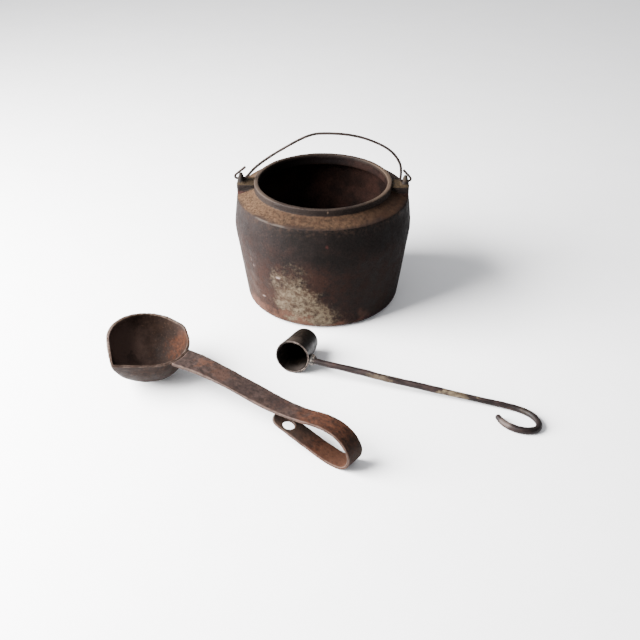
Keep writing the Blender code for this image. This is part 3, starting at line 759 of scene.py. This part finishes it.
def mark_edges(obj, low, high):
    """Stores how much each point stands on an outer edge, 0 to 1, as the attribute edge.

    Low and high are the bends, in 1/m, that give 0 and 1.
    """
    mesh = obj.data
    count = len(mesh.vertices)
    points = np.empty(count * 3)
    mesh.vertices.foreach_get("co", points)
    points = points.reshape(-1, 3)
    normals = np.empty(count * 3)
    mesh.vertex_normals.foreach_get("vector", normals)
    normals = normals.reshape(-1, 3)
    ends = np.empty(len(mesh.edges) * 2, dtype=np.int32)
    mesh.edges.foreach_get("vertices", ends)
    first, last = ends.reshape(-1, 2).T
    degree = np.bincount(ends, minlength=count)

    def around(values):
        """The mean of each point's neighbours' values."""
        total = np.bincount(first, values[last], count) + np.bincount(last, values[first], count)
        return total / degree

    spacing = ((points[first] - points[last]) ** 2).sum(1).mean()
    hollow = sum((around(points[:, axis]) - points[:, axis]) * normals[:, axis] for axis in range(3))
    bend = -4 * hollow / spacing
    for _ in range(BEND_BLURS):
        bend = (bend + around(bend)) / 2
    share = np.clip((bend - low) / (high - low), 0, 1)
    mesh.attributes.new("edge", "FLOAT", "POINT").data.foreach_set("value", share.astype(np.float32))


def finished(obj, body, look, slot, *nodes):
    """Shades a piece, gives it its material and fixes it to the frame."""
    obj.data.shade_smooth()
    obj.data.materials.clear()
    obj.data.materials.append(look.material)
    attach(obj, body)
    if nodes:
        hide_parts(*nodes)


# ---------------------------------------------------------------- pot

POT_STEPS = 300  # round the pot
POT_ROW = 0.0016  # height of a row of faces
POT_SEAM = 0.00005  # the turned outline's ends and its points on the axis join within this
ON_PLANE = 0.000005  # how far from a plane a point still counts as on it
BAIL_YAW = radians(-2.2)
PIVOT_HEIGHT = 0.1070
EAR_MIDDLE = 0.0687  # from the pot's axis to the middle of the ear's fin
EAR_STEPS = 48  # round a ring
EAR_VOXEL = 0.00028
EAR_HOLE_RADIUS = 0.0016
DRILL_LENGTH = 0.012
DRILL_STEPS = 40


def outline_of(node):
    """A turned node's outline in the half plane x = 0, y > 0, from the axis inside to underneath."""
    work = bmesh.new()
    work.from_mesh(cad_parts[node].data)
    bmesh.ops.remove_doubles(work, verts=work.verts, dist=SAME_POINT)
    flat = {v for v in work.verts if abs(v.co.x) < ON_PLANE and v.co.y > 0}
    floor_height = sorted({round(v.co.z, 5) for v in flat})[1]
    here = min((v for v in flat if v.co.z > floor_height / 2), key=lambda v: v.co.y)
    outline = [(0, here.co.z), (here.co.y, here.co.z)]
    seen = {here}
    while True:
        ahead = [e.other_vert(here) for e in here.link_edges]
        ahead = [v for v in ahead if v in flat and v not in seen]
        if not ahead:
            break
        here = ahead[0]
        outline.append((here.co.y, here.co.z))
        seen.add(here)
    work.free()
    return [*outline, (0, 0)]


def make_pot_body():
    """The CAD pot's outline, in short steps, turned about Z."""
    outline = outline_of("pot_casting")
    points = []
    for (r0, z0), (r1, z1) in zip(outline, outline[1:]):
        steps = max(1, round(((r1 - r0) ** 2 + (z1 - z0) ** 2) ** 0.5 / POT_ROW))
        points += [(r0 + (r1 - r0) * k / steps, 0, z0 + (z1 - z0) * k / steps) for k in range(steps)]
    points.append((outline[-1][0], 0, outline[-1][1]))
    mesh = bpy.data.meshes.new("pot_body")
    mesh.from_pydata(points, [(i, i + 1) for i in range(len(points) - 1)], [])
    body = add_piece("pot_body", mesh)
    turn = body.modifiers.new("turn", "SCREW")
    turn.steps = POT_STEPS
    turn.render_steps = POT_STEPS
    turn.use_merge_vertices = True
    turn.merge_threshold = POT_SEAM
    applied(body)
    return roughened(body, (0.030, 0.00022), (0.009, 0.00012), (0.0035, 0.00007))


def ear_rings():
    """Rings up one ear: a square root that rises from the shoulder, then a rounded fin.

    Each row is height, middle, half sizes along X and Y, how square it is (2 is an ellipse), and how
    far it falls for each step outwards.
    """
    rows = [
        (0.0968, 0.0641, 0.0078, 0.0092, 7, 0.375),
        (0.0984, 0.0641, 0.0078, 0.0090, 7, 0.375),
        (0.0996, 0.0642, 0.0078, 0.0084, 8, 0.30),
        (0.1010, 0.0642, 0.0078, 0.0081, 9, 0.15),
        (0.1042, 0.0643, 0.0079, 0.0080, 9, 0),
        (0.1046, 0.0645, 0.0077, 0.0077, 8, 0),
        (0.1049, 0.0683, 0.0039, 0.0068, 5, 0),
        (0.1062, 0.0687, 0.0028, 0.0051, 2.8, 0),
        (0.1082, 0.0689, 0.0024, 0.0043, 2.4, 0),
        (0.1100, 0.0689, 0.0019, 0.0035, 2.3, 0),
        (0.1112, 0.0689, 0.0015, 0.0025, 2.2, 0),
        (0.1120, 0.0688, 0.0008, 0.0014, 2, 0),
    ]
    rings = []
    for height, middle, half_x, half_y, square, fall in rows:
        ring = []
        for i in range(EAR_STEPS):
            angle = 2 * pi * i / EAR_STEPS
            x = half_x * abs(cos(angle)) ** (2 / square) * (1 if cos(angle) >= 0 else -1)
            y = half_y * abs(sin(angle)) ** (2 / square) * (1 if sin(angle) >= 0 else -1)
            ring.append((middle + x, y, height - fall * x))
        rings.append(ring)
    return rings


def make_drill(name, yaw):
    """A cylinder along the bail's axis, through one ear."""
    drill = bmesh.new()
    bmesh.ops.create_cone(
        drill,
        cap_ends=True,
        segments=DRILL_STEPS,
        radius1=EAR_HOLE_RADIUS,
        radius2=EAR_HOLE_RADIUS,
        depth=DRILL_LENGTH,
    )
    drill.transform(Matrix.Rotation(pi / 2, 4, "Y"))
    drill.transform(Matrix.Translation((EAR_MIDDLE, 0, PIVOT_HEIGHT)))
    drill.transform(Matrix.Rotation(yaw, 4, "Z"))
    mesh = bpy.data.meshes.new(name)
    drill.to_mesh(mesh)
    drill.free()
    return add_piece(name, mesh)


def make_ear(name, yaw):
    """One ear, turned about Z to its side of the pot, with the bail's hole through its fin."""
    work = bmesh.new()
    loops = [[work.verts.new(p) for p in ring] for ring in ear_rings()]
    for low, high in zip(loops, loops[1:]):
        for i in range(EAR_STEPS):
            j = (i + 1) % EAR_STEPS
            work.faces.new((low[i], low[j], high[j], high[i]))
    work.faces.new(loops[0][::-1])
    work.faces.new(loops[-1])
    work.transform(Matrix.Rotation(yaw, 4, "Z"))
    mesh = bpy.data.meshes.new(name)
    work.to_mesh(mesh)
    work.free()
    ear = add_piece(name, mesh)
    drill = make_drill(name + "_hole", yaw)
    cut = ear.modifiers.new("hole", "BOOLEAN")
    cut.operation = "DIFFERENCE"
    cut.object = drill
    evened(ear, EAR_VOXEL, rounds=3)
    bpy.data.objects.remove(drill)
    return roughened(ear, (0.006, 0.00016), (0.0022, 0.00010))


def add_pot():
    finished(make_pot_body(), "pot", pot_look(), "pot_iron", "pot_casting")
    look = ear_look()
    finished(make_ear("ear_right", BAIL_YAW), "pot", look, "pot_iron", "pot_casting")
    finished(make_ear("ear_left", BAIL_YAW + pi), "pot", look, "pot_iron", "pot_casting")


# ---------------------------------------------------------------- bail, ladle and mould


def add_bail():
    """The bail, a little fuller along its arch and its legs, where it is clear of the ears."""
    bail = refined("bail", "bail_wire", voxel=0.00022, sharp=60, swell=0.00024)
    fattened(bail, centre=(0.0, 0.0, 0.122), reach=0.066, amount=0.00014)
    for side in (-1, 1):
        fattened(bail, centre=(side * 0.055, 0.0, 0.120), reach=0.023, amount=0.00016)
    finished(bail, "bail", bail_look(), "bail_steel", "bail_wire")


def add_ladle():
    bowl = refined("bowl", "ladle_bowl", voxel=0.0005, sharp=50, rounds=3)
    roughened(bowl, (0.022, 0.00045), (0.007, 0.00018), (0.0025, 0.00008))
    mark_edges(bowl, low=250, high=900)
    finished(bowl, "ladle", bowl_look(), "ladle_iron", "ladle_bowl")

    strap = refined("strap", "ladle_handle", voxel=0.00035, sharp=50, rounds=3, swell=0.0002)
    roughened(strap, (0.018, 0.00030), (0.006, 0.00014), (0.0022, 0.00006))
    mark_edges(strap, low=300, high=1100)
    finished(strap, "ladle", strap_look(), "strap_iron", "ladle_handle")


def add_mould():
    """The cup, its rod, fuller in the hook, and the braze between them."""
    cup = refined("cup", "mould_cup", voxel=0.00030, sharp=50)
    roughened(cup, (0.012, 0.00018), (0.004, 0.00006))
    mark_edges(cup, low=900, high=1900)
    finished(cup, "mould", cup_look(), "cup_steel", "mould_cup")

    rod = refined("rod", "mould_handle_rod", voxel=0.00030, sharp=60, swell=0.0003)
    fattened(rod, centre=(0.142, -0.198, 0.004), reach=0.030, amount=0.00055)
    roughened(rod, (0.014, 0.00030), (0.005, 0.00014))
    finished(rod, "mould", rod_look(), "rod_steel", "mould_handle_rod")

    braze = refined("braze", "braze_joint", voxel=0.0002, sharp=50)
    roughened(braze, (0.003, 0.00030), (0.0012, 0.00010))
    finished(braze, "mould", braze_look(), "braze", "braze_joint")


# ---------------------------------------------------------------- the scene

make_camera()
make_fill()
make_window()
make_floor()
add_pot()
add_bail()
add_ladle()
add_mould()
